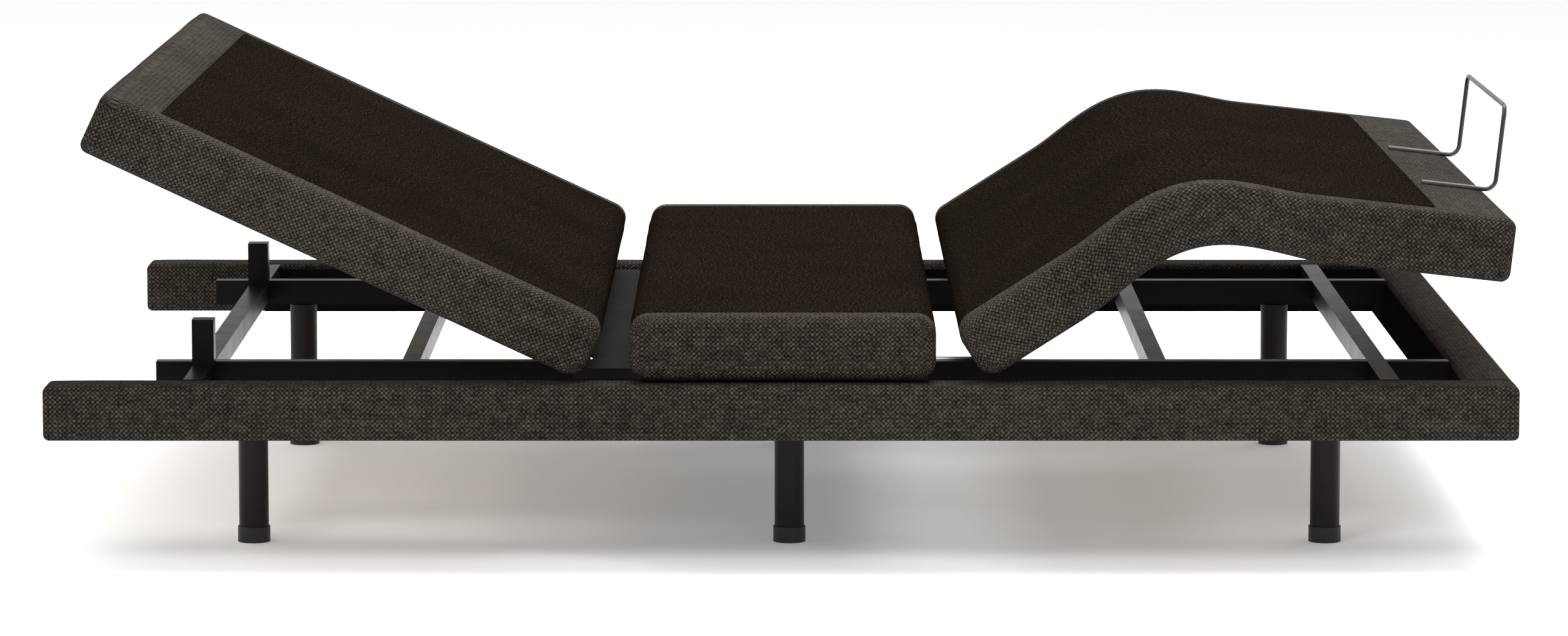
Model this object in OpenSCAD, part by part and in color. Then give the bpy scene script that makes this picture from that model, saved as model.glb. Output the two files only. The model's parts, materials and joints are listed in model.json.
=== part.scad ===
// Adjustable bed base: an upholstered rail frame on six legs, with a head
// section and a two-part leg section that lift on hinges by linear actuators.
// Origin: centre of the frame on the floor. +X foot end, +Y the sleeper's left.

/* [Base frame] */
// Length over the upholstered rails
base_len = 2032; // [1880:1:2130]
// Width over the upholstered rails
base_w = 1520; // [1360:1:1940]
// Thickness of a side rail
rail_t = 74; // [50:1:90]
// Thickness of the foot rail
foot_rail_t = 69; // [50:1:90]
// Height of the rails
rail_h = 75.5; // [60:1:100]
// Height of the rails' underside above the floor
rail_z = 183.5; // [120:1:260]
// Radius along the rails' top edges
rail_r = 10; // [4:1:16]
/* [Steel tubes] */
// Distance from the middle to each main tube's centre line
tube_y = 481; // [380:1:560]
// Width of a main tube
tube_w = 25; // [20:1:40]
// Height of a main tube
tube_h = 38; // [30:1:50]
// Wall of every square tube
tube_wall = 2; // [1.5:0.5:3]
// Width of a cross tube
cross_w = 27; // [20:1:40]
// Height of a cross tube
cross_h = 30; // [20:1:36]
// Length of a head end post
post_h = 64; // [30:1:64]
// Side of a head end post
post_w = 31; // [25:1:36]
/* [Legs] */
// Diameter of a leg tube
leg_d = 42; // [34:1:60]
// Radial step of a leg's end cap over its tube
cap_step = 2; // [1:0.5:5]
// Height of a leg's end cap
cap_h = 22; // [14:1:30]
// Distance of the end legs from the middle leg
leg_gap = 761; // [650:1:820]
// Place of the middle legs along the bed
leg_mid_x = 11.6; // [-40:0.1:40]
/* [Deck sections] */
// Width of the deck sections
deck_w = 1474; // [1320:1:1880]
// Thickness of a deck section
deck_t = 88; // [75:1:100]
// Gap between the rails and the deck sections above them
deck_gap = 5; // [3:0.5:12]
// Length of the seat section
seat_len = 422; // [380:1:480]
// Place of the seat section's middle
seat_x = 2.2; // [-20:0.1:20]
// Length of the head section
head_len = 759; // [700:1:820]
// Length of the thigh part of the leg section
thigh_len = 344; // [300:1:380]
// Length of the calf part of the leg section
calf_len = 436; // [380:1:440]
// Gap between the seat and each moving section when flat
hinge_gap = 67; // [55:1:80]
// Width of the padded walls round a section's hollow underside
pad_wall = 45; // [35:1:60]
// Thickness of the foam over the deck boards
foam_t = 16; // [12:1:20]
// Thickness of a deck board
board_t = 12; // [9:1:14]
/* [Pose as shown] */
// Angle of the head section
head_angle = 25; // [0:0.5:45]
// Angle of the thigh part
thigh_angle = 32.5; // [0:0.5:40]
// Downward angle of the calf part
calf_angle = 6.3; // [0:0.1:9]
/* [Hinges and drives] */
// Height of the hinge pins above a section's underside
pin_up = 6; // [4:1:12]
// Distance of a hinge pin inside a section's end
pin_in = 4.5; // [2:0.5:10]
// Radius of every hinge and crank pin
pin_r = 5; // [4:0.5:8]
// Radial running clearance on the pins
run_gap = 0.05; // [0.02:0.01:0.1]
// Length of the crank that each drive pushes
crank_len = 70; // [60:1:80]
// Distance of each drive from the middle
drive_y = 70; // [60:1:110]
// Distance of each drive's rear pivot beyond the middle
drive_x = 150; // [120:1:180]
// Radius of a drive's sliding rod
rod_r = 9; // [7:0.5:11]
// Radius of a drive's outer tube
drive_r = 16; // [14:0.5:20]
/* [Mattress retainer] */
// Width of the retainer bar
bar_span = 498; // [300:1:600]
// Height of the retainer bar above the calf part
bar_h = 122; // [100:1:180]
// Distance of the retainer's middle to the sleeper's right
bar_y = 118; // [0:1:200]
// Diameter of the retainer wire
bar_d = 6.5; // [5:0.5:12]
/* [Hidden] */
$fn = 48;
half = base_len / 2;
rail_top = rail_z + rail_h;
rail_in = base_w / 2 - rail_t;
foot_in = half - foot_rail_t;
tube_z = rail_top - tube_h;
tube_in = tube_y - tube_w / 2;
liner_t = 2;
liner_drop = 8;
liner_setback = 189;
liner_x0 = -half + liner_setback;
main_setback = 131;
main_x0 = -half + main_setback;
main_x1 = foot_in - liner_t;
// Places of the cross tubes, from the ends of the main tubes and from the middle
head_cross_in = 70;
head_cross_x = main_x0 + head_cross_in;
foot_cross_in = 103.5;
foot_cross_x = foot_in - foot_cross_in;
mid_xs = [-524.5, 533];
// Head posts, each beside its main tube
post_out = 33.5;
post_in = 46.5;
post_ys = [-tube_y - post_out, tube_y - post_in];
deck_z = rail_top + deck_gap;
deck_y = deck_w / 2;
pocket_y = deck_y - pad_wall;
board_z = deck_z + deck_t - foam_t - board_t;
sub_w = 25;
sub_z = board_z - sub_w;
seat_x0 = seat_x - seat_len / 2;
seat_x1 = seat_x + seat_len / 2;
head_x1 = seat_x0 - hinge_gap;
head_x0 = head_x1 - head_len;
thigh_x0 = seat_x1 + hinge_gap;
knee_x = thigh_x0 + thigh_len;
knee_gap = 5;
knee_up = 8;
knee_z = deck_z + knee_up;
knee_tube_in = 30;
knee_y = 420;
knee_over = 4;
calf_x1 = knee_x + calf_len;
pin_z = deck_z + pin_up;
head_pin_x = head_x1 - pin_in;
thigh_pin_x = thigh_x0 + pin_in;
bore_r = pin_r + run_gap;
ear_r = pin_r + 5;
arm_t = 8;
arm_gap = 3;
ear_gap = 2;
plate_ease = 1.5;
// Seat pan, its turned-down lip and its notches round the head hinges and crank
pan_t = 3;
pan_ahead = 2;
pan_x0 = head_pin_x - ear_r - pan_ahead;
pan_short = 8;
pan_x1 = seat_x1 - pan_short;
stand_xs = [-150, 130];
stand_in = 132;
stand_y = pocket_y - stand_in;
pan_over = 30;
pan_y = stand_y + pan_over;
pan_lip = 12;
pan_notch = 24;
notch_over = 6;
// Slots that clear the hinges and the cranks
hinge_slot_in = 6;
hinge_slot_w = 56;
crank_slot_w = 36;
bracket_w = 16;
hinge_in = 5;
hinge_over = 6;
arm_y = tube_y - bracket_w / 2 - arm_gap - arm_t;
drive_z = pin_z - crank_len;
plate_t = 6;
eye_t = 8;
eye_gap = 1;
pin_over = 2;
crank_pin_len = eye_t + 2 * eye_gap + 2 * plate_t + 2 * pin_over;
crank_lean = 10;
cap_lip = 3;
corner_in = 24;
corner_out = 13;
// Mattress retainer: its bends and the two sleeves that hold it
bar_out = 8;
bar_x = calf_x1 + bar_out;
bend_r = 16;
sleeve_len = 78;
sleeve_wall = 1;
sleeve_floor = 3;
sleeve_back = 12;
sleeve_r = bar_d / 2 + sleeve_wall;
sleeve_z = deck_z + deck_t + sleeve_r;
sleeve_x = bar_x - bend_r - sleeve_back - sleeve_len;

// Middle of the overall length, from the head end of the rails to the retainer
function turned_x(dx, dz, a) = dx * cos(a) - dz * sin(a);
knee_rest_x = thigh_pin_x + turned_x(knee_x - thigh_pin_x, knee_z - pin_z, thigh_angle);
tip_dz = sleeve_z + bar_h - knee_z;
tip_x = knee_rest_x + turned_x(bar_x - knee_x, tip_dz, -calf_angle) + bar_d / 2;
centre_x = (tip_x - half) / 2;
module placed() translate([-centre_x, 0, 0]) children();

// A straight square tube with open ends, lying along X
module tube_x(x0, x1, y, z, w, h) {
    translate([x0, y - w / 2, z]) difference() {
        cube([x1 - x0, w, h]);
        translate([-1, tube_wall, tube_wall]) cube([x1 - x0 + 2, w - 2 * tube_wall, h - 2 * tube_wall]);
    }
}
// A straight square tube with open ends, lying along Y
module tube_along_y(y0, y1, x, z, w, h) {
    translate([x - w / 2, y0, z]) difference() {
        cube([w, y1 - y0, h]);
        translate([tube_wall, -1, tube_wall]) cube([w - 2 * tube_wall, y1 - y0 + 2, h - 2 * tube_wall]);
    }
}
// Puts a section's flat shape at its place in the shown pose
module at_head() {
    translate([head_pin_x, 0, pin_z]) rotate([0, head_angle, 0])
        translate([-head_pin_x, 0, -pin_z]) children();
}
module at_thigh() {
    translate([thigh_pin_x, 0, pin_z]) rotate([0, -thigh_angle, 0])
        translate([-thigh_pin_x, 0, -pin_z]) children();
}
module at_calf() {
    at_thigh() translate([knee_x, 0, knee_z]) rotate([0, thigh_angle + calf_angle, 0])
        translate([-knee_x, 0, -knee_z]) children();
}
// Extrudes a side view drawn in X and Z to both sides of y
module side_extrude(y, t) {
    translate([0, y + t / 2, 0]) rotate([90, 0, 0]) linear_extrude(t) children();
}

// Upholstered rails
module rail_block(len, w) {
    intersection() {
        rotate([90, 0, 90]) linear_extrude(len) rail_profile(w);
        translate([0, -1, -1]) cube([len, w + 2, rail_h + 2]);
    }
}
module rail_profile(w) {
    square([w, rail_h - rail_r]);
    translate([rail_r, 0]) square([w - 2 * rail_r, rail_h]);
    for (y = [rail_r, w - rail_r]) translate([y, rail_h - rail_r]) circle(rail_r);
}
module side_rail(side) {
    color([0.23, 0.21, 0.19]) translate([-half, side > 0 ? rail_in : -rail_in - rail_t, rail_z])
        rail_block(base_len, rail_t);
}
module side_rail_right() side_rail(-1);
module side_rail_left() side_rail(1);
module foot_rail() {
    color([0.23, 0.21, 0.19]) translate([half, -rail_in, rail_z]) rotate([0, 0, 90])
        rail_block(2 * rail_in, foot_rail_t);
}
module rail_liner(side) {
    color([0.08, 0.08, 0.08])
        translate([liner_x0, side > 0 ? rail_in - liner_t : -rail_in, rail_z])
            cube([foot_in - liner_x0, liner_t, rail_h - liner_drop]);
}
module rail_liner_right() rail_liner(-1);
module rail_liner_left() rail_liner(1);
module rail_liner_foot() {
    color([0.08, 0.08, 0.08]) translate([foot_in - liner_t, -rail_in + liner_t, rail_z])
        cube([liner_t, 2 * (rail_in - liner_t), rail_h - liner_drop]);
}

// Steel frame
module main_tube(side) {
    color([0.06, 0.06, 0.06]) tube_x(main_x0, main_x1, side * tube_y, tube_z, tube_w, tube_h);
}
module main_tube_right() main_tube(-1);
module main_tube_left() main_tube(1);
module cross_tubes() {
    color([0.07, 0.07, 0.07]) for (x = [head_cross_x, foot_cross_x])
        tube_along_y(-tube_in, tube_in, x, rail_top - cross_h, cross_w, cross_h);
}
module outrigger_tubes() {
    color([0.07, 0.07, 0.07]) for (x = [head_cross_x, foot_cross_x], side = [-1, 1]) {
        y0 = side > 0 ? tube_y + tube_w / 2 : -rail_in + liner_t;
        y1 = side > 0 ? rail_in - liner_t : -tube_y - tube_w / 2;
        tube_along_y(y0, y1, x, rail_top - cross_h, cross_w, cross_h);
    }
}
module mid_tubes() {
    color([0.07, 0.07, 0.07]) for (x = mid_xs)
        tube_along_y(-tube_in, tube_in, x, rail_top - cross_h, tube_w, cross_h);
}
module drive_tubes() {
    color([0.07, 0.07, 0.07]) for (x = [-drive_x, drive_x])
        tube_along_y(-tube_in, tube_in, x, tube_z, tube_w, tube_w);
}
module head_posts() {
    color([0.07, 0.07, 0.07]) for (y = post_ys)
        translate([head_cross_x - post_w / 2, y - post_w / 2, rail_top]) cube([post_w, post_w, post_h]);
}

// Legs
module bed_leg(i, side) {
    color([0.06, 0.05, 0.05]) translate([leg_mid_x + i * leg_gap, side * tube_y, cap_lip])
        cylinder(r = leg_d / 2, h = tube_z - cap_lip);
}
module leg_head_right() bed_leg(-1, -1);
module leg_head_left() bed_leg(-1, 1);
module leg_mid_right() bed_leg(0, -1);
module leg_mid_left() bed_leg(0, 1);
module leg_foot_right() bed_leg(1, -1);
module leg_foot_left() bed_leg(1, 1);
module leg_caps() {
    color([0.04, 0.04, 0.04]) for (i = [-1, 0, 1], side = [-1, 1])
        translate([leg_mid_x + i * leg_gap, side * tube_y, 0]) difference() {
            cylinder(r = leg_d / 2 + cap_step, h = cap_h);
            translate([0, 0, cap_lip]) cylinder(r = leg_d / 2, h = cap_h);
        }
}

// Seat
module seat_pan() {
    color([0.2, 0.2, 0.2]) difference() {
        union() {
            translate([pan_x0, -pan_y, rail_top]) cube([pan_x1 - pan_x0, 2 * pan_y, pan_t]);
            for (side = [-1, 1]) translate([pan_x0, side > 0 ? pan_y - pan_t : -pan_y, rail_top - pan_lip])
                cube([pan_x1 - pan_x0, pan_t, pan_lip]);
        }
        translate([pan_x0 - 1, drive_y - crank_slot_w / 2 - 2, rail_top - 1])
            cube([pan_notch, crank_slot_w + 4, pan_t + 2]);
        for (side = [-1, 1]) translate([pan_x0 - 1, side * (tube_y - hinge_slot_in) - hinge_slot_w / 2, rail_top - 1])
                cube([2 * ear_r + notch_over, hinge_slot_w, pan_t + 2]);
    }
}
module seat_stands() {
    color([0.07, 0.07, 0.07]) for (x = stand_xs, y = [-stand_y, stand_y])
        translate([seat_x + x - post_w / 2, y - post_w / 2, rail_top + pan_t])
            cube([post_w, post_w, board_z - rail_top - pan_t]);
}
// Side view of a section: rounded ends of radius ra and rb, 0 for a square end
module slab_view(x0, x1, ra, rb) {
    translate([x0 + ra, deck_z]) square([x1 - x0 - ra - rb, deck_t]);
    if (ra > 0) round_end(x0 + ra, x0, ra);
    if (rb > 0) round_end(x1 - rb, x1 - rb, rb);
}
module round_end(cx, x0, r) {
    translate([x0, deck_z + r]) square([r, deck_t - 2 * r]);
    for (z = [deck_z + r, deck_z + deck_t - r]) translate([cx, z]) circle(r);
}
// A padded section with a hollow underside; p0 and p1 are the pocket's ends
module section_pad(x0, x1, ra, rb, p0, p1) {
    difference() {
        side_extrude(0, deck_w) slab_view(x0, x1, ra, rb);
        translate([p0, -pocket_y, deck_z - 1])
            cube([p1 - p0, 2 * pocket_y, board_z + board_t - deck_z + 1]);
    }
}
module section_board(p0, p1) {
    color([0.62, 0.5, 0.36]) translate([p0, -pocket_y, board_z])
        cube([p1 - p0, 2 * pocket_y, board_t]);
}
module section_sides(p0, p1) {
    color([0.07, 0.07, 0.07]) for (side = [-1, 1])
        tube_x(p0, p1, side * (pocket_y - sub_w / 2), sub_z, sub_w, sub_w);
}
module section_cross(x) {
    color([0.07, 0.07, 0.07]) tube_along_y(-pocket_y + sub_w, pocket_y - sub_w, x, sub_z, sub_w, sub_w);
}
seat_p0 = seat_x0 + pad_wall;
seat_p1 = seat_x1 - pad_wall;
module seat_board() section_board(seat_p0, seat_p1);
module seat_pad() {
    color([0.2, 0.18, 0.16]) section_pad(seat_x0, seat_x1, corner_in, corner_in, seat_p0, seat_p1);
}

// Hinge brackets, pins, arms and cranks
module bracket(x, side, base) {
    side_extrude(side * tube_y, bracket_w) difference() {
        union() {
            translate([x - ear_r, base]) square([2 * ear_r, pin_z - base]);
            translate([x, pin_z]) circle(ear_r);
        }
        translate([x, pin_z]) circle(pin_r);
    }
}
module head_brackets() {
    color([0.1, 0.1, 0.1]) for (side = [-1, 1]) bracket(head_pin_x, side, rail_top);
}
module thigh_brackets() {
    color([0.1, 0.1, 0.1]) for (side = [-1, 1]) bracket(thigh_pin_x, side, rail_top);
}
module hinge_pins() {
    color([0.5, 0.5, 0.5]) for (x = [head_pin_x, thigh_pin_x], side = [-1, 1])
        translate([x, side * (tube_y - hinge_in), pin_z]) rotate([90, 0, 0])
            cylinder(r = pin_r, h = bracket_w + 2 * arm_gap + arm_t + 2 * hinge_over, center = true);
}
// A flat plate from a cross tube's underside at x to a round end at [px, pz]
module plate_view(x, px, pz) {
    difference() {
        union() {
            translate([px, pz]) circle(ear_r);
            polygon([[x - sub_w / 2, sub_z], [x + sub_w / 2, sub_z],
                [px + side_dx(x, px, pz), pz + side_dz(x, px, pz)],
                [px - side_dx(x, px, pz), pz - side_dz(x, px, pz)]]);
        }
        translate([px, pz]) circle(bore_r);
    }
}
function plate_len(x, px, pz) = norm([x - px, sub_z - pz]);
function side_dx(x, px, pz) = (ear_r - plate_ease) * (sub_z - pz) / plate_len(x, px, pz);
function side_dz(x, px, pz) = -(ear_r - plate_ease) * (x - px) / plate_len(x, px, pz);

// Head section
head_p0 = head_x0 + pad_wall;
head_p1 = head_x1 - pad_wall;
head_xa = head_p0 + sub_w / 2;
head_xb = head_p1 - sub_w / 2;
head_crank_x = head_pin_x + crank_len * sin(head_angle);
head_crank_z = pin_z - crank_len * cos(head_angle);
// Slots in a pad's end wall for the hinges and for the crank
module hinge_slots(x0, x1, y) {
    for (side = [-1, 1]) translate([x0, side * (tube_y - hinge_slot_in) - hinge_slot_w / 2, deck_z - 1])
            cube([x1 - x0, hinge_slot_w, sub_z - deck_z + 1]);
    translate([x0, y - crank_slot_w / 2, deck_z - 1])
        cube([x1 - x0, crank_slot_w, sub_z - deck_z + 1]);
}
module head_pad() {
    color([0.2, 0.18, 0.16]) at_head() difference() {
        section_pad(head_x0, head_x1, corner_out, corner_in, head_p0, head_p1);
        hinge_slots(head_p1 - 1, head_x1 + 1, drive_y);
    }
}
module head_board() at_head() section_board(head_p0, head_p1);
module head_side_tubes() at_head() section_sides(head_p0, head_p1);
module head_cross_tubes() at_head() for (x = [head_xa, (head_xa + head_xb) / 2, head_xb]) section_cross(x);
module head_arms() {
    color([0.1, 0.1, 0.1]) at_head() for (side = [-1, 1])
        side_extrude(side * (arm_y + arm_t / 2), arm_t) plate_view(head_xb, head_pin_x, pin_z);
}
module crank_plates(x, px, pz, y) {
    for (side = [-1, 1]) side_extrude(y + side * (eye_t / 2 + eye_gap + plate_t / 2), plate_t)
        difference() {
            plate_view(x, px, pz);
            translate([px, pz]) circle(pin_r);
        }
}
module crank_pin(px, pz, y) {
    color([0.5, 0.5, 0.5]) translate([px, y, pz]) rotate([90, 0, 0])
        cylinder(r = pin_r, h = crank_pin_len, center = true);
}
module head_crank() {
    color([0.1, 0.1, 0.1]) at_head() crank_plates(head_xb, head_crank_x, head_crank_z, drive_y);
}
module head_crank_pin() at_head() crank_pin(head_crank_x, head_crank_z, drive_y);

// Thigh and calf sections
thigh_p0 = thigh_x0 + pad_wall;
thigh_xa = thigh_p0 + sub_w / 2;
thigh_xb = knee_x - knee_gap - knee_tube_in - sub_w / 2;
flat_lean = crank_lean - thigh_angle;
thigh_crank_x = thigh_pin_x + crank_len * sin(flat_lean);
thigh_crank_z = pin_z - crank_len * cos(flat_lean);
thigh_x1 = knee_x - knee_gap;
calf_x0 = knee_x + knee_gap;
calf_p1 = calf_x1 - pad_wall;
calf_xa = calf_x0 + knee_tube_in + sub_w / 2;
calf_xb = calf_p1 - sub_w / 2;
module thigh_pad() {
    color([0.2, 0.18, 0.16]) at_thigh() difference() {
        section_pad(thigh_x0, thigh_x1, corner_in, 0, thigh_p0, thigh_x1 + 1);
        hinge_slots(thigh_x0 - 1, thigh_p0 + 1, -drive_y);
    }
}
module thigh_board() at_thigh() section_board(thigh_p0, thigh_x1);
module thigh_side_tubes() at_thigh() section_sides(thigh_p0, thigh_x1);
module thigh_cross_tubes() at_thigh() for (x = [thigh_xa, thigh_xb]) section_cross(x);
module thigh_arms() {
    color([0.1, 0.1, 0.1]) at_thigh() for (side = [-1, 1])
        side_extrude(side * (arm_y + arm_t / 2), arm_t) plate_view(thigh_xa, thigh_pin_x, pin_z);
}
module thigh_crank() {
    color([0.1, 0.1, 0.1]) at_thigh() crank_plates(thigh_xa, thigh_crank_x, thigh_crank_z, -drive_y);
}
module thigh_crank_pin() at_thigh() crank_pin(thigh_crank_x, thigh_crank_z, -drive_y);
module calf_pad() {
    color([0.2, 0.18, 0.16]) at_calf()
        section_pad(calf_x0, calf_x1, 0, corner_out, calf_x0 - 1, calf_p1);
}
module calf_board() at_calf() section_board(calf_x0, calf_p1);
module calf_side_tubes() at_calf() section_sides(calf_x0, calf_p1);
module calf_cross_tubes() at_calf() for (x = [calf_xa, calf_xb]) section_cross(x);
// Knee hinge: an ear on each section's cross tube, side by side on one pin
module knee_ears() {
    color([0.1, 0.1, 0.1]) at_thigh() for (side = [-1, 1]) side_extrude(side * knee_y, arm_t)
        difference() {
            plate_view(thigh_xb, knee_x, knee_z);
            translate([knee_x, knee_z]) circle(pin_r);
        }
}
module knee_pins() {
    color([0.5, 0.5, 0.5]) at_thigh() for (side = [-1, 1])
        translate([knee_x, side * (knee_y + (arm_t + ear_gap) / 2), knee_z]) rotate([90, 0, 0])
            cylinder(r = pin_r, h = 2 * arm_t + ear_gap + 2 * knee_over, center = true);
}
module calf_ears() {
    color([0.1, 0.1, 0.1]) at_calf() for (side = [-1, 1])
        side_extrude(side * (knee_y + arm_t + ear_gap), arm_t) plate_view(calf_xa, knee_x, knee_z);
}

// Mattress retainer
module retainer_sleeves() {
    color([0.2, 0.2, 0.2]) at_calf() for (side = [-1, 1])
        translate([sleeve_x, -bar_y + side * bar_span / 2, sleeve_z])
            rotate([0, 90, 0]) difference() {
                cylinder(r = sleeve_r, h = sleeve_len);
                translate([0, 0, sleeve_floor]) cylinder(r = bar_d / 2, h = sleeve_len);
            }
}
module quarter_bend() {
    rotate_extrude(angle = 90) translate([bend_r, 0]) circle(bar_d / 2);
}
module retainer_bar() {
    color([0.12, 0.12, 0.12]) at_calf() translate([0, -bar_y, sleeve_z]) {
        for (side = [-1, 1]) translate([0, side * bar_span / 2, 0]) {
            translate([sleeve_x + sleeve_floor, 0, 0]) rotate([0, 90, 0])
                cylinder(r = bar_d / 2, h = sleeve_len + sleeve_back - sleeve_floor);
            translate([bar_x - bend_r, 0, bend_r]) rotate([90, 0, 0]) rotate([0, 0, -90]) quarter_bend();
            translate([bar_x, 0, bend_r]) cylinder(r = bar_d / 2, h = bar_h - 2 * bend_r);
            translate([bar_x, -side * bend_r, bar_h - bend_r]) rotate([90, 0, side > 0 ? 90 : -90])
                quarter_bend();
        }
        translate([bar_x, 0, bar_h]) rotate([90, 0, 0])
            cylinder(r = bar_d / 2, h = bar_span - 2 * bend_r, center = true);
    }
}

// Lifting drives, drawn along +X from the rear pivot
tube_end = 300;
housing_x0 = 14;
housing_x1 = 90;
housing_y = 22;
housing_z = 26;
motor_r = 20;
motor_len = 120;
motor_in = 8;
motor_sink = 4;
lug_over = 1;
rod_x0 = 160;
// Rod eye: its reach past the pin and the upright slot that lets the pin slide
eye_w = 11;
eye_h = 16;
eye_root = 2;
eye_wall = 6;
slot_slack = 1.4;
head_dx = head_pin_x - drive_x;
thigh_rest_x = thigh_pin_x + crank_len * sin(crank_lean);
thigh_rest_z = pin_z - crank_len * cos(crank_lean);
leg_dx = thigh_rest_x + drive_x;
leg_dz = thigh_rest_z - drive_z;
module at_head_drive() translate([drive_x, drive_y, drive_z]) rotate([0, 180, 0]) children();
module at_leg_drive() {
    translate([-drive_x, -drive_y, drive_z]) rotate([0, -atan2(leg_dz, leg_dx), 0]) children();
}
module motor_unit(out) {
    color([0.09, 0.09, 0.09]) difference() {
        union() {
            rotate([90, 0, 0]) cylinder(r = ear_r + lug_over, h = eye_t, center = true);
            translate([0, -eye_t / 2, -ear_r]) cube([housing_x0, eye_t, 2 * ear_r]);
            translate([housing_x0, -housing_y, -housing_z])
                cube([housing_x1 - housing_x0, 2 * housing_y, 2 * housing_z]);
            translate([housing_x1, 0, 0]) rotate([0, 90, 0])
                cylinder(r = drive_r, h = tube_end - housing_x1);
            translate([housing_x0 + motor_in, out * (housing_y + motor_r - motor_sink), 0])
                rotate([0, 90, 0]) cylinder(r = motor_r, h = motor_len);
        }
        rotate([90, 0, 0]) cylinder(r = bore_r, h = 2 * eye_t, center = true);
        translate([housing_x1, 0, 0]) rotate([0, 90, 0])
            cylinder(r = rod_r + run_gap, h = tube_end);
    }
}
module drive_rod(len) {
    color([0.6, 0.6, 0.6]) {
        translate([rod_x0, 0, 0]) rotate([0, 90, 0]) cylinder(r = rod_r, h = len - eye_w - rod_x0);
        side_extrude(0, eye_t) difference() {
            translate([len - eye_w - eye_root, -eye_h - eye_wall])
                square([2 * eye_w + eye_root, 2 * (eye_h + eye_wall)]);
            translate([len - pin_r - slot_slack, -eye_h]) square([2 * (pin_r + slot_slack), 2 * eye_h]);
        }
    }
}
module head_motor() at_head_drive() motor_unit(1);
module head_rod() at_head_drive() drive_rod(-head_dx);
module leg_motor() at_leg_drive() motor_unit(-1);
module leg_rod() at_leg_drive() drive_rod(norm([leg_dx, leg_dz]));
module drive_clevises() {
    color([0.1, 0.1, 0.1]) for (s = [-1, 1], side = [-1, 1])
        side_extrude(s * drive_y + side * (eye_t / 2 + eye_gap + plate_t / 2), plate_t) difference() {
            union() {
                translate([s * drive_x - ear_r, drive_z]) square([2 * ear_r, tube_z - drive_z]);
                translate([s * drive_x, drive_z]) circle(ear_r);
            }
            translate([s * drive_x, drive_z]) circle(pin_r);
        }
}
module drive_pins() {
    color([0.5, 0.5, 0.5]) for (s = [-1, 1]) translate([s * drive_x, s * drive_y, drive_z])
        rotate([90, 0, 0]) cylinder(r = pin_r, h = crank_pin_len, center = true);
}
// Control box under the seat, with its power inlet
box_w = 110;
box_y0 = 190;
box_y1 = 330;
box_h = 38;
inlet_w = 31;
inlet_h = 23;
inlet_d = 28;
inlet_y = box_y1 - inlet_d / 2;
module control_box() {
    color([0.07, 0.07, 0.07]) difference() {
        translate([-box_w / 2, box_y0, rail_top - box_h]) cube([box_w, box_y1 - box_y0, box_h]);
        translate([0, inlet_y, rail_top - box_h / 2])
            cube([inlet_w, inlet_d + 2, inlet_h], center = true);
    }
}
module power_inlet() {
    color([0.03, 0.03, 0.03]) translate([0, inlet_y, rail_top - box_h / 2]) difference() {
        cube([inlet_w, inlet_d, inlet_h], center = true);
        translate([0, inlet_d / 2 - 6, 0]) cube([inlet_w - 7, 16, inlet_h - 7], center = true);
    }
}

placed() side_rail_right();
placed() side_rail_left();
placed() foot_rail();
placed() rail_liner_right();
placed() rail_liner_left();
placed() rail_liner_foot();
placed() main_tube_right();
placed() main_tube_left();
placed() cross_tubes();
placed() outrigger_tubes();
placed() mid_tubes();
placed() drive_tubes();
placed() head_posts();
placed() leg_head_right();
placed() leg_head_left();
placed() leg_mid_right();
placed() leg_mid_left();
placed() leg_foot_right();
placed() leg_foot_left();
placed() leg_caps();
placed() seat_pan();
placed() seat_stands();
placed() seat_board();
placed() seat_pad();
placed() head_brackets();
placed() thigh_brackets();
placed() hinge_pins();
placed() drive_clevises();
placed() drive_pins();
placed() control_box();
placed() power_inlet();
placed() head_board();
placed() head_side_tubes();
placed() head_cross_tubes();
placed() head_arms();
placed() head_crank();
placed() head_crank_pin();
placed() head_pad();
placed() thigh_board();
placed() thigh_side_tubes();
placed() thigh_cross_tubes();
placed() thigh_arms();
placed() thigh_crank();
placed() thigh_crank_pin();
placed() thigh_pad();
placed() knee_ears();
placed() knee_pins();
placed() calf_board();
placed() calf_side_tubes();
placed() calf_cross_tubes();
placed() calf_ears();
placed() calf_pad();
placed() retainer_sleeves();
placed() retainer_bar();
placed() head_motor();
placed() head_rod();
placed() leg_motor();
placed() leg_rod();
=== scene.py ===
"""Adjustable bed base: upholstery, deck fabric, finishes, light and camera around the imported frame."""
import json
import math

import bmesh
import bpy
import numpy as np
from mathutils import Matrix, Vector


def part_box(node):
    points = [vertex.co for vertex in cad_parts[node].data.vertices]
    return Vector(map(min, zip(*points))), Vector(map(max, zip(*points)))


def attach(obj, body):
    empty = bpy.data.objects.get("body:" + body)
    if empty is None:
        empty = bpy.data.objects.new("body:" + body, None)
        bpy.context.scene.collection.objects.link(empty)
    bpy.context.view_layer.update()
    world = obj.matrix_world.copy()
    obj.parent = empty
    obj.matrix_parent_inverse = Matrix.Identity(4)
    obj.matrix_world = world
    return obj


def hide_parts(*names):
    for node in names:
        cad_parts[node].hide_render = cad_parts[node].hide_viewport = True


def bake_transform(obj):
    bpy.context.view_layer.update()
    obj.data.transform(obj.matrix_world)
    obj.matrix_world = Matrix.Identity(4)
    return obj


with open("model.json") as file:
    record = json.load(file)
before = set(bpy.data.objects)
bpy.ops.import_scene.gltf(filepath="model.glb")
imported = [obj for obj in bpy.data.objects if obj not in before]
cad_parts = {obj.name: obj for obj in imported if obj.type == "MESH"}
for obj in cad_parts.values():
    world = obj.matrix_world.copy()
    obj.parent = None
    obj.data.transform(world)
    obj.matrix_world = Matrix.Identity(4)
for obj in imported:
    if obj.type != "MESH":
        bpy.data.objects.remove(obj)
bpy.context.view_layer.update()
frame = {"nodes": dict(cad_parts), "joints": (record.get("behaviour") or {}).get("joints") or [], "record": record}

# ---------------------------------------------------------------- sizes, in metres
DECK_T = 0.088            # thickness of a deck section
HEAD_LEN = 0.759
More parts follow.
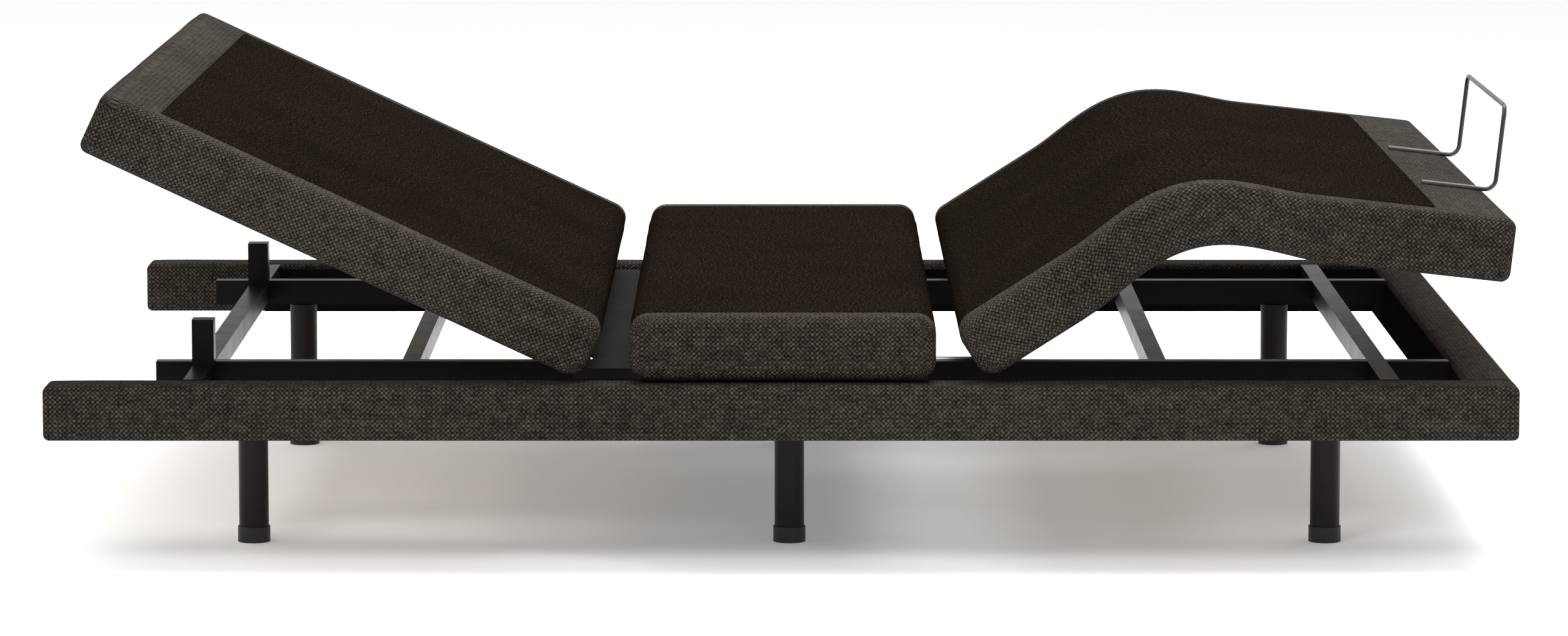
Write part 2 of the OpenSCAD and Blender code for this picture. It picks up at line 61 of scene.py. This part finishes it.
THIGH_LEN = 0.344
CALF_LEN = 0.436
PIN_IN = 0.0045           # a hinge pin's distance inside a section's end
KNEE_UP = 0.008           # the knee pin's height above a section's underside
HEAD_ANGLE = math.radians(25)
THIGH_ANGLE = math.radians(32.5)
CALF_ANGLE = math.radians(6.3)
PAD_WALL = 0.045
FOAM_T = 0.016
BOARD_T = 0.012
R_GAP = 0.024             # side-view radius at an end that faces the seat
R_END = 0.013             # side-view radius at the head and foot ends
R_SIDE = 0.016            # radius along the long edges
BORDER_SIDE = 0.051       # width of the woven border beside the deck fabric
BORDER_HEAD = 0.0815
BORDER_FOOT = 0.107
KNEE_REACH = 0.165        # how far from the knee the upholstery starts to bend
SEAM = 0.0016             # half width and depth of a seam
SIDE_RINGS = (0.017, 0.025, 0.033, 0.0415)    # insets of the rings that close a section's sides
RAIL_RINGS = (0.012, 0.02, 0.028, 0.036)      # insets of the rings that close a rail's ends
RAIL_END = 0.009          # radius round a rail's ends
WEAVE_PITCH = 0.0046      # width of one yarn crossing

joints = {j["name"]: j for j in frame["joints"]}
head_pin = np.array(joints["head_lift"]["pos_m"])
thigh_pin = np.array(joints["thigh_lift"]["pos_m"])
seat_lo, seat_hi = (np.array(c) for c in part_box("seat_pad"))
deck_y = seat_hi[1]
deck_z = seat_lo[2]
head_x1 = head_pin[0] + PIN_IN
thigh_x0 = thigh_pin[0] - PIN_IN
knee_x = thigh_x0 + THIGH_LEN
knee_z = deck_z + KNEE_UP


# ---------------------------------------------------------------- shapes
def span(a, b, step, *marks):
    """Rising stations from a to b about step apart, with every mark among them."""
    stops = sorted({round(v, 6) for v in (a, b, *marks) if a <= v <= b})
    out = []
    for lo, hi in zip(stops, stops[1:]):
        n = max(1, round((hi - lo) / step))
        out += [lo + (hi - lo) * i / n for i in range(n)]
    return out + [stops[-1]]


def turn(points, pin, angle):
    """Turns points about the Y axis through pin; a positive angle raises the -X side."""
    angle = np.asarray(angle)
    c, s = np.cos(angle), np.sin(angle)
    d = points - pin
    out = points.copy()
    out[..., 0] = pin[0] + d[..., 0] * c + d[..., 2] * s
    out[..., 2] = pin[2] - d[..., 0] * s + d[..., 2] * c
    return out


def ring(x0, x1, z0, z1, ra, rb, marks_top, marks_low, step, inset=0.0):
    """Closed side view, clockwise from the top of the left end: (x, z) rows."""
    pts = []
    arc = 7
    ra, rb = max(ra - inset, 0.0004), max(rb - inset, 0.0004)
    a0, a1, b0, b1 = x0 + inset, x1 - inset, z0 + inset, z1 - inset
    mid = (z0 + z1) / 2
    b0, b1 = min(b0, mid - 0.0001), max(b1, mid + 0.0001)
    ra = min(ra, (b1 - b0) / 2)
    rb = min(rb, (b1 - b0) / 2)
    full_a, full_b = x0 + R_GAP + 0.004, x1 - R_GAP - 0.004
    for v in span(full_a, full_b, step, *marks_top):
        pts.append((min(max(v, a0 + ra), a1 - rb), b1))
    for k in range(arc + 1):
        t = math.pi / 2 * (1 - k / arc)
        pts.append((a1 - rb + rb * math.cos(t), b1 - rb + rb * math.sin(t)))
    for k in (1, 2, 3):
        pts.append((a1, b1 - rb - (b1 - b0 - 2 * rb) * k / 4))
    for k in range(arc + 1):
        t = -math.pi / 2 * k / arc
        pts.append((a1 - rb + rb * math.cos(t), b0 + rb + rb * math.sin(t)))
    for v in reversed(span(full_a, full_b, step, *marks_low)):
        pts.append((min(max(v, a0 + ra), a1 - rb), b0))
    for k in range(arc + 1):
        t = -math.pi / 2 - math.pi / 2 * k / arc
        pts.append((a0 + ra + ra * math.cos(t), b0 + ra + ra * math.sin(t)))
    for k in (1, 2, 3):
        pts.append((a0, b0 + ra + (b1 - b0 - 2 * ra) * k / 4))
    for k in range(arc + 1):
        t = math.pi - math.pi / 2 * k / arc
        pts.append((a0 + ra + ra * math.cos(t), b1 - ra + ra * math.sin(t)))
    return np.array(pts)


def wobble(x, y, seed, scale):
    """A smooth seeded unevenness between -1 and 1."""
    rng = np.random.default_rng(seed)
    total = np.zeros_like(x)
    for k in range(6):
        a, b, p = rng.uniform(-1, 1), rng.uniform(-1, 1), rng.uniform(0, 6.28)
        total += np.sin((a * x + b * y) * 6.28 / scale * (0.6 + 0.25 * k) + p)
    return total / 6


def slab(name, x0, x1, ra, rb, borders, pocket, dark_ends, place, seed, step=0.024, knee=False):
    """An upholstered section as one closed mesh with a hollow underside.

    borders is how far the deck fabric stays from each end, dark_ends says which ends it runs down,
    pocket is the hollow's two ends, and place turns the flat points to their pose at rest.
    """
    z0, z1 = deck_z, deck_z + DECK_T
    top = [x0 + borders[0] + d for d in (-SEAM, 0, SEAM)] if not dark_ends[0] else []
    top += [x1 - borders[1] + d for d in (-SEAM, 0, SEAM)] if not dark_ends[1] else []
    low = [pocket[0], pocket[0] + 0.0006, pocket[1] - 0.0006, pocket[1]]
    if knee:
        near = [knee_x + KNEE_REACH * k / 14 for k in range(-14, 15)]
        top += near
        low += near
    turns = [math.pi / 2 * k / 6 for k in range(6)]
    edge = [(R_SIDE * (1 - math.cos(t)), R_SIDE * (1 - math.sin(t))) for t in turns]
    fabric_y = deck_y - BORDER_SIDE
    wall_y = deck_y - PAD_WALL
    flat_ys = span(-(deck_y - R_SIDE), deck_y - R_SIDE, step, *(
        s * (fabric_y + d) for s in (-1, 1) for d in (-SEAM, 0, SEAM)),
        *(s * (wall_y - d) for s in (-1, 1) for d in (0, 0.0006)))
    rows = [(y, 0.0) for y in flat_ys]
    rows += [(side * (deck_y - out), inset) for side in (-1, 1) for out, inset in edge]
    rows += [(side * deck_y, inset) for side in (-1, 1) for inset in SIDE_RINGS]
    rows.sort(key=lambda row: (row[0], row[1] if row[0] > 0 else -row[1]))
    base = ring(x0, x1, z0, z1, ra, rb, top, low, step)
    n = len(base)
    arc = np.concatenate([[0], np.cumsum(np.hypot(*np.diff(base, axis=0).T))])
    pts = np.zeros((len(rows), n, 3))
    is_cap = [abs(row[0]) > deck_y - 1e-6 for row in rows]
    across = []
    for i, (y, inset) in enumerate(rows):
        p = ring(x0, x1, z0, z1, ra, rb, top, low, step, inset)
        pts[i, :, 0], pts[i, :, 1], pts[i, :, 2] = p[:, 0], y, p[:, 1]
        if abs(y) > deck_y - R_SIDE:
            rolled = math.acos(max(0.0, 1 - inset / R_SIDE))
            across.append(math.copysign(deck_y - R_SIDE + R_SIDE * rolled, y))
        else:
            across.append(y)
    x, y, z = pts[..., 0].copy(), pts[..., 1].copy(), pts[..., 2].copy()
    on_top = z > z1 - 1e-4
    ceiling = deck_z + DECK_T - FOAM_T - BOARD_T * 0.6
    hollow = (z < z0 + 1e-4) & (np.abs(y) < wall_y - 0.0003)
    hollow &= (x > pocket[0] + 0.0003) & (x < pocket[1] - 0.0003)
    # crown of the foam, slack and unevenness of the cloth
    crown_x = np.clip((x - x0) * (x1 - x) / 0.02, 0, 1)
    crown_y = np.clip((deck_y - np.abs(y)) / 0.12, 0, 1)
    lift = 0.0022 * crown_x * crown_y + 0.0007 * wobble(x, y, seed, 0.34) * crown_y
    pts[..., 2] += np.where(on_top, lift, 0)
    side = np.abs(y) > deck_y - 0.0005
    belly = 0.0016 * np.clip(1 - ((z - (z0 + z1) / 2) / 0.036) ** 2, 0, 1)
    belly += 0.0005 * wobble(x, z * 2, seed + 1, 0.3)
    pts[..., 1] += np.where(side, np.sign(y) * belly, 0)
    ends = ((x < x0 + 0.0005) | (x > x1 - 0.0005)) & ~side
    end_belly = 0.0015 * np.clip((deck_y - np.abs(y)) / 0.08, 0, 1)
    end_belly += 0.0006 * wobble(y, z, seed + 2, 0.26)
    pts[..., 0] += np.where(ends, np.sign(x - (x0 + x1) / 2) * end_belly, 0)
    pts[..., 2] = np.where(hollow, ceiling, pts[..., 2])
    # which cloth covers each point, and the seam between the two
    low_end = z < z0 + R_GAP
    lo_ok = np.ones_like(x, bool) if dark_ends[0] else x > x0 + borders[0] - 1e-5
    hi_ok = np.ones_like(x, bool) if dark_ends[1] else x < x1 - borders[1] + 1e-5
    over = on_top | (~low_end & dark_ends[0] & (x < x0 + R_GAP + 0.004))
    over |= ~low_end & dark_ends[1] & (x > x1 - R_GAP - 0.004)
    over |= low_end & (z > z0 + 0.004) & dark_ends[0] & (x < x0 + R_GAP)
    over |= low_end & (z > z0 + 0.004) & dark_ends[1] & (x > x1 - R_GAP)
    dark = over & lo_ok & hi_ok & (np.abs(y) < fabric_y + 1e-5)
    seam = over & (np.abs(np.abs(y) - fabric_y) < 1e-5) & lo_ok & hi_ok
    if not dark_ends[0]:
        seam |= on_top & (np.abs(x - x0 - borders[0]) < 1e-5) & (np.abs(y) < fabric_y + 1e-5)
    if not dark_ends[1]:
        seam |= on_top & (np.abs(x - x1 + borders[1]) < 1e-5) & (np.abs(y) < fabric_y + 1e-5)
    pts[..., 2] -= np.where(seam & on_top, SEAM, 0)
    pts[..., 0] += np.where(seam & ~on_top, np.sign((x0 + x1) / 2 - x) * SEAM, 0)
    flat = pts.reshape(-1, 3)
    at_rest = place(flat)
    m, faces, slots, uvs = len(rows), [], [], []
    for i in range(m - 1):
        for k in range(n):
            q = (k + 1) % n
            quad = [(i, k), (i, q), (i + 1, q), (i + 1, k)]
            faces.append([a * n + b for a, b in quad])
            slots.append(1 if all(dark[a, b] for a, b in quad) else 0)
            capped = is_cap[i] and is_cap[i + 1]
            for a, b in quad:
                wrap = arc[b] if not (q == 0 and b == 0) else arc[-1] + 0.004
                uvs.append((x[a, b], z[a, b], 0) if capped else (across[a], wrap, 0))
    # close the narrow slot left in the middle of each side
    for i in (0, m - 1):
        loop = list(range(n)) if i else list(range(n))[::-1]
        faces.append([i * n + k for k in loop])
        slots.append(0)
        uvs += [(x[i, k], z[i, k], 0) for k in loop]
    return make_cloth(name, at_rest, faces, slots, uvs)


def block(name, lo, hi, along, r_top, r_low, seed, step=0.03):
    """A padded rail: a rounded block from lo to hi, lying along axis 0 or 1."""
    lo, hi = np.array(lo), np.array(hi)
    w, h, length = hi[1 - along] - lo[1 - along], hi[2] - lo[2], hi[along] - lo[along]

    def section(inset):
        rows, rt, rl = [], max(r_top - inset, 0.0003), max(r_low - inset, 0.0003)
        w0, w1, h0, h1 = inset, w - inset, inset, h - inset
        corners = [(w1 - rt, h1 - rt, rt, 90), (w1 - rl, h0 + rl, rl, 0),
                   (w0 + rl, h0 + rl, rl, -90), (w0 + rt, h1 - rt, rt, 180)]
        for c, (cw, ch, r, first) in enumerate(corners):
            arc = [(cw + r * math.cos(math.radians(first - 15 * k)),
                    ch + r * math.sin(math.radians(first - 15 * k))) for k in range(7)]
            nw, nh, nr, nf = corners[(c + 1) % 4]
            nxt = (nw + nr * math.cos(math.radians(nf)), nh + nr * math.sin(math.radians(nf)))
            rows += arc
            rows += [(arc[-1][0] + (nxt[0] - arc[-1][0]) * k / 4,
                      arc[-1][1] + (nxt[1] - arc[-1][1]) * k / 4) for k in (1, 2, 3)]
        return np.array(rows)

    ends = [(RAIL_END * (1 - math.cos(math.pi / 10 * k)), RAIL_END * (1 - math.sin(math.pi / 10 * k)))
            for k in range(5)]
    rows = [(u, 0.0) for u in span(RAIL_END, length - RAIL_END, step)]
    rows += [(u, i) for u, i in ends] + [(length - u, i) for u, i in ends]
    rows += [(u, i) for u in (0.0, length) for i in RAIL_RINGS]
    rows.sort(key=lambda q: (q[0], q[1] if q[0] > length / 2 else -q[1]))
    base = section(0.0)
    n = len(base)
    arc = np.concatenate([[0], np.cumsum(np.hypot(*np.diff(base, axis=0).T)), [0]])
    arc[-1] = arc[-2] + np.hypot(*(base[0] - base[-1]))
    pts, sec = np.zeros((len(rows), n, 3)), np.zeros((len(rows), n, 2))
    for i, (u, inset) in enumerate(rows):
        sec[i] = section(inset)
        pts[i, :, along] = lo[along] + u
        pts[i, :, 1 - along] = lo[1 - along] + sec[i, :, 0]
        pts[i, :, 2] = lo[2] + sec[i, :, 1]
    u = pts[..., along]
    ease = np.clip(np.minimum(u - lo[along], hi[along] - u) / 0.05, 0, 1)
    faces_out = {0: (sec[..., 0] < 1e-4, 1 - along, -1), 1: (sec[..., 0] > w - 1e-4, 1 - along, 1),
                 2: (sec[..., 1] > h - 1e-4, 2, 1)}
    for k, (mask, axis, sign) in faces_out.items():
        across = sec[..., 1] / h if k < 2 else sec[..., 0] / w
        puff = 0.0009 * np.sin(math.pi * np.clip(across, 0, 1))
        puff = puff + 0.0005 * wobble(u, sec[..., 1] + sec[..., 0], seed + k, 0.32)
        pts[..., axis] += np.where(mask, sign * puff * ease, 0)
    faces, uvs = [], []
    for i in range(len(rows) - 1):
        cap = rows[i][1] > 1e-6 and rows[i + 1][1] > 1e-6 and rows[i][0] == rows[i + 1][0]
        for k in range(n):
            q = (k + 1) % n
            quad = [(i, k, k), (i, q, k + 1), (i + 1, q, k + 1), (i + 1, k, k)]
            faces.append([a * n + b for a, b, _ in quad])
            uvs += [(sec[a, b, 0], sec[a, b, 1], 0) if cap else (u[a, b], arc[c], 0)
                    for a, b, c in quad]
    for i in (0, len(rows) - 1):
        order = list(range(n)) if i else list(range(n))[::-1]
        faces.append([i * n + k for k in order])
        uvs += [(sec[i, k, 0], sec[i, k, 1], 0) for k in order]
    return make_cloth(name, pts.reshape(-1, 3), faces, [0] * len(faces), uvs)


def make_cloth(name, points, faces, slots, uvs):
    """A smooth mesh object whose cloth coordinates, in metres, are kept for its weave."""
    mesh = bpy.data.meshes.new(name)
    mesh.from_pydata(np.asarray(points).tolist(), [], faces)
    mesh.polygons.foreach_set("material_index", slots)
    layer = mesh.attributes.new("cloth", "FLOAT_VECTOR", "CORNER")
    layer.data.foreach_set("vector", np.array(uvs, np.float32).ravel())
    mesh.polygons.foreach_set("use_smooth", [True] * len(faces))
    mesh.update()
    obj = bpy.data.objects.new(name, mesh)
    bpy.context.collection.objects.link(obj)
    bm = bmesh.new()
    bm.from_mesh(mesh)
    bmesh.ops.recalc_face_normals(bm, faces=bm.faces)
    bm.to_mesh(mesh)
    bm.free()
    return obj


# ---------------------------------------------------------------- materials
class Nodes:
    """Short ways to make and join a material's shader nodes."""

    def __init__(self, name, **fixed):
        self.mat = bpy.data.materials.new(name)
        self.mat.use_nodes = True
        self.tree = self.mat.node_tree
        self.shader = self.tree.nodes["Principled BSDF"]
        for key, value in fixed.items():
            self.shader.inputs[key.replace("_", " ")].default_value = value

    def add(self, kind, **props):
        node = self.tree.nodes.new(kind)
        for key, value in props.items():
            setattr(node, key, value)
        return node

    def link(self, out, into):
        self.tree.links.new(out, into)

    def math(self, op, a, b=None):
        node = self.add("ShaderNodeMath", operation=op)
        for i, v in enumerate((a, b)):
            if v is None:
                continue
            if isinstance(v, (int, float)):
                node.inputs[i].default_value = v
            else:
                self.link(v, node.inputs[i])
        return node.outputs[0]

    def noise(self, vector, scale, detail=3.0, rough=0.55):
        node = self.add("ShaderNodeTexNoise")
        node.inputs["Scale"].default_value = scale
        node.inputs["Detail"].default_value = detail
        node.inputs["Roughness"].default_value = rough
        self.link(vector, node.inputs["Vector"])
        return node.outputs["Fac"]

    def ramp(self, fac, *stops):
        node = self.add("ShaderNodeValToRGB")
        el = node.color_ramp.elements
        while len(el) < len(stops):
            el.new(0.5)
        for e, (pos, col) in zip(el, stops):
            e.position = pos
            e.color = (*col, 1) if isinstance(col, tuple) else (col, col, col, 1)
        self.link(fac, node.inputs["Fac"])
        return node.outputs["Color"]

    def bump(self, height, depth, strength=1.0):
        node = self.add("ShaderNodeBump")
        node.inputs["Distance"].default_value = depth
        node.inputs["Strength"].default_value = strength
        self.link(height, node.inputs["Height"])
        self.link(node.outputs["Normal"], self.shader.inputs["Normal"])

    def place(self):
        return self.add("ShaderNodeTexCoord").outputs["Object"]

    def cloth(self):
        return self.add("ShaderNodeAttribute", attribute_name="cloth").outputs["Vector"]


def weave(n, pitch, turned):
    """Height of a basket weave and its over-and-under mask, from the cloth coordinates."""
    split = n.add("ShaderNodeSeparateXYZ")
    spin = n.add("ShaderNodeVectorRotate", rotation_type="Z_AXIS")
    spin.inputs["Angle"].default_value = turned
    n.link(n.cloth(), spin.inputs["Vector"])
    n.link(spin.outputs["Vector"], split.inputs["Vector"])
    wavy = n.math("MULTIPLY", n.math("SUBTRACT", n.noise(n.cloth(), 90.0, 2.0), 0.5), 0.0014)
    u = n.math("DIVIDE", n.math("ADD", split.outputs["X"], wavy), pitch)
    v = n.math("DIVIDE", n.math("ADD", split.outputs["Y"], wavy), pitch)
    su = n.math("ABSOLUTE", n.math("SINE", n.math("MULTIPLY", u, math.pi)))
    sv = n.math("ABSOLUTE", n.math("SINE", n.math("MULTIPLY", v, math.pi)))
    cell = n.math("ADD", n.math("FLOOR", u), n.math("FLOOR", v))
    over = n.math("ABSOLUTE", n.math("MODULO", cell, 2.0))
    under = n.math("SUBTRACT", 1.0, over)
    long_u = n.math("POWER", su, 0.45)
    long_v = n.math("POWER", sv, 0.45)
    warp = n.math("MULTIPLY", n.math("MULTIPLY", su, long_v), over)
    weft = n.math("MULTIPLY", n.math("MULTIPLY", sv, long_u), under)
    return n.math("ADD", warp, weft), over


def upholstery():
    """Coarse taupe basket weave: pale yarn crossings over near-black gaps."""
    n = Nodes("taupe_weave", Specular_IOR_Level=0.04, Roughness=0.93)
    height, over = weave(n, WEAVE_PITCH, math.radians(45))
    where = n.cloth()
    yarn = n.noise(where, 260.0, 2.0, 0.6)
    slub = n.noise(where, 55.0, 3.0, 0.6)
    cloud = n.noise(n.place(), 2.6, 3.0)
    tone = n.math("ADD", n.math("MULTIPLY", yarn, 0.55), n.math("MULTIPLY", slub, 0.30))
    tone = n.math("ADD", tone, n.math("MULTIPLY", over, 0.05))
    tone = n.math("ADD", tone, n.math("MULTIPLY", cloud, 0.15))
    colour = n.ramp(tone, (0.36, (0.0100, 0.0080, 0.0062)), (0.50, (0.0320, 0.0268, 0.0216)),
                    (0.63, (0.0780, 0.0670, 0.0550)))
    shade = n.ramp(height, (0.03, 0.05), (0.28, 0.34), (0.60, 1.0))
    mix = n.add("ShaderNodeMix", data_type="RGBA", blend_type="MULTIPLY")
    mix.inputs["Factor"].default_value = 1.0
    n.link(colour, mix.inputs["A"])
    n.link(shade, mix.inputs["B"])
    n.link(mix.outputs["Result"], n.shader.inputs["Base Color"])
    n.bump(n.math("ADD", height, n.math("MULTIPLY", yarn, 0.3)), 0.0012)
    return n.mat


def deck_cloth():
    """Dense near-black deck fabric with a fine brown fleck."""
    n = Nodes("deck_cloth", Specular_IOR_Level=0.0, Roughness=0.95)
    where = n.cloth()
    fleck = n.noise(where, 300.0, 1.0, 0.8)
    cloud = n.noise(n.place(), 5.0, 3.0)
    tone = n.math("ADD", n.math("MULTIPLY", fleck, 0.9), n.math("MULTIPLY", cloud, 0.1))
    n.link(n.ramp(tone, (0.40, (0.0040, 0.0031, 0.0024)), (0.56, (0.0062, 0.0047, 0.0038)),
                  (0.70, (0.0400, 0.0270, 0.0190))), n.shader.inputs["Base Color"])
    n.bump(fleck, 0.0004, 0.6)
    return n.mat


def coated(name, dark, light, rough, gloss, metal=0.0, depth=0.00005):
    """A painted or moulded surface: slight tone and roughness changes and convex edges paler."""
    n = Nodes(name, Metallic=metal, Specular_IOR_Level=gloss)
    where = n.place()
    # convex edges, found from pointiness, get a paler tone
    edge_pointiness = n.add("ShaderNodeNewGeometry").outputs["Pointiness"]
    edge = n.math("MULTIPLY", n.math("SUBTRACT", edge_pointiness, 0.53), 5.0)
    edge = n.math("MINIMUM", n.math("MAXIMUM", edge, 0.0), 0.5)
    tone = n.math("ADD", n.math("MULTIPLY", n.noise(where, 6.0, 3.0), 0.6), edge)
    n.link(n.ramp(tone, (0.15, dark), (0.85, light)), n.shader.inputs["Base Color"])
    scuff = n.math("MULTIPLY", n.math("SUBTRACT", n.noise(where, 18.0, 4.0), 0.5), 0.14)
    n.link(n.math("ADD", scuff, rough), n.shader.inputs["Roughness"])
    n.bump(n.noise(where, 900.0, 1.0), depth, 0.4)
    return n.mat


def plywood():
    """Bare plywood with long grain."""
    n = Nodes("plywood", Specular_IOR_Level=0.3)
    stretch = n.add("ShaderNodeMapping")
    stretch.inputs["Scale"].default_value = (26.0, 1.6, 26.0)
    n.link(n.place(), stretch.inputs["Vector"])
    grain = n.noise(stretch.outputs["Vector"], 2.2, 6.0, 0.65)
    n.link(n.ramp(grain, (0.3, (0.30, 0.185, 0.095)), (0.55, (0.50, 0.345, 0.195)),
                  (0.75, (0.60, 0.44, 0.27))), n.shader.inputs["Base Color"])
    n.link(n.math("ADD", 0.55, n.math("MULTIPLY", grain, 0.3)), n.shader.inputs["Roughness"])
    n.bump(grain, 0.0004, 0.7)
    return n.mat


WOVEN = upholstery()
DECK = deck_cloth()
FINISH = {
    "plywood": plywood(),
    "black_steel": coated("black_gloss_steel", (0.0020, 0.0025, 0.0022), (0.0048, 0.0056, 0.0051),
                          0.33, 0.045),
    "pan_steel": coated("grey_pan_steel", (0.008, 0.008, 0.008), (0.018, 0.018, 0.018), 0.55, 0.008, 0.0),
    "leg_enamel": coated("leg_enamel", (0.0080, 0.0062, 0.0052), (0.0140, 0.0112, 0.0098), 0.45, 0.12),
    "wire_steel": coated("wire_coat", (0.020, 0.019, 0.018), (0.060, 0.057, 0.054), 0.34, 0.5, 0.3),
    "bright_steel": coated("turned_steel", (0.08, 0.08, 0.085), (0.20, 0.20, 0.21), 0.34, 0.5, 1.0),
    "black_plastic": coated("moulded_plastic", (0.0060, 0.0058, 0.0056), (0.018, 0.017, 0.016), 0.48, 0.3,
                            depth=0.0002),
}
LINER = coated("dull_liner", (0.0030, 0.0030, 0.0029), (0.0060, 0.0060, 0.0058), 0.8, 0.0)
slots_of = {s["node"]: s["material_slot"] for s in frame["record"]["subparts"]}
SHARP = ("tube", "post", "stand", "board", "pan", "liner", "bracket", "clevis", "box", "inlet", "caps")
for node, obj in frame["nodes"].items():
    slot = slots_of[node]
    if slot in FINISH:
        obj.data.materials.clear()
        obj.data.materials.append(LINER if "liner" in node else FINISH[slot])
        if any(word in node for word in SHARP):
            ease = obj.modifiers.new("eased_edges", "BEVEL")
            ease.width = 0.0012
            ease.segments = 2
            ease.limit_method = "ANGLE"
            ease.angle_limit = math.radians(50)


# ---------------------------------------------------------------- upholstered pieces
def finish_cloth(obj, body, node_names):
    obj.data.materials.append(WOVEN)
    obj.data.materials.append(DECK)
    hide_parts(*node_names)
    if body:
        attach(obj, body)
    return obj


def stay(points):
    return points


def place_head(points):
    return turn(points, head_pin, HEAD_ANGLE)


KNEE_FLAT = np.array([knee_x, 0, knee_z])
FOLD = THIGH_ANGLE + CALF_ANGLE


def leg_points(points, weight):
    return turn(turn(points, KNEE_FLAT, weight * FOLD), thigh_pin, -THIGH_ANGLE)


knee_ends = [leg_points(np.array([knee_x + s * KNEE_REACH, 0, deck_z + DECK_T / 2]), (s + 1) / 2)
             for s in (-1, 1)]


def place_leg(points):
    along = knee_ends[1] - knee_ends[0]
    t = np.clip((points[:, 0] - knee_x) / (2 * KNEE_REACH) + 0.5, 0, 1)
    weight = t * t * (3 - 2 * t)
    for _ in range(40):
        t = np.clip((leg_points(points, weight) - knee_ends[0]) @ along / (along @ along), 0, 1)
        weight = 0.5 * weight + 0.5 * t * t * (3 - 2 * t)
    return leg_points(points, weight)


x0, x1 = seat_lo[0], seat_hi[0]
seat_cover = slab("seat_cover", x0, x1, R_GAP, R_GAP, (0, 0), (x0 + PAD_WALL, x1 - PAD_WALL),
                  (True, True), stay, 11)
finish_cloth(seat_cover, "base", ["seat_pad"])
head_x0 = head_x1 - HEAD_LEN
head_cover = slab("head_cover", head_x0, head_x1, R_END, R_GAP, (BORDER_HEAD, 0),
                  (head_x0 + PAD_WALL, head_x1 - PAD_WALL), (False, True), place_head, 23)
finish_cloth(head_cover, "head_section", ["head_pad"])
foot_x1 = knee_x + CALF_LEN
leg_cover = slab("leg_cover", thigh_x0, foot_x1, R_GAP, R_END, (0, BORDER_FOOT),
                 (thigh_x0 + PAD_WALL, foot_x1 - PAD_WALL), (True, False), place_leg, 37, knee=True)
finish_cloth(leg_cover, None, ["thigh_pad", "calf_pad"])
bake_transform(leg_cover)

for name, along, seed in (("side_rail_right", 0, 51), ("side_rail_left", 0, 61), ("foot_rail", 1, 71)):
    rail = block(name + "_cover", *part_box(name), along, 0.010, 0.005, seed)
    finish_cloth(rail, "base", [name])

# ---------------------------------------------------------------- floor, light and camera
bpy.ops.mesh.primitive_plane_add(size=60, location=(0, 12, -0.0005))
floor = bpy.context.object
floor.name = "floor"
paint = Nodes("pale_floor", Specular_IOR_Level=0.1, Roughness=0.9)
paint.link(paint.ramp(paint.noise(paint.place(), 0.6, 2.0), (0.3, 0.84), (0.7, 0.85)),
           paint.shader.inputs["Base Color"])
paint.shader.inputs["Emission Color"].default_value = (1.0, 0.985, 0.975, 1)
paint.shader.inputs["Emission Strength"].default_value = 0.20
floor.data.materials.append(paint.mat)

world = bpy.data.worlds.new("studio")
bpy.context.scene.world = world
world.use_nodes = True
world.node_tree.nodes["Background"].inputs["Color"].default_value = (1, 1, 1, 1)
world.node_tree.nodes["Background"].inputs["Strength"].default_value = 0.85


def softbox(name, place, aim, size, power):
    data = bpy.data.lights.new(name, "AREA")
    data.shape = "RECTANGLE"
    data.size, data.size_y = size
    data.energy = power
    lamp = bpy.data.objects.new(name, data)
    bpy.context.collection.objects.link(lamp)
    lamp.location = place
    lamp.rotation_euler = (Vector(aim) - Vector(place)).to_track_quat("-Z", "Y").to_euler()


softbox("key", (-2.5, -4.5, 4.2), (0, 0, 0.3), (3.0, 2.0), 150)
softbox("top", (0.5, 0.6, 4.5), (0, 0, 0.3), (4.5, 2.5), 340)
softbox("rim", (3.5, 3.5, 2.6), (0.3, 0, 0.4), (2.5, 1.5), 80)

eye = bpy.data.cameras.new("camera")
eye.lens = 145.8
eye.sensor_width = 36.0
eye.clip_end = 200
camera = bpy.data.objects.new("camera", eye)
bpy.context.collection.objects.link(camera)
camera.location = (-0.0066, -9.403, 1.4417)
camera.rotation_euler = (math.radians(90 - 7.17), 0, 0)
bpy.context.scene.camera = camera
bpy.context.scene.view_settings.view_transform = "Standard"
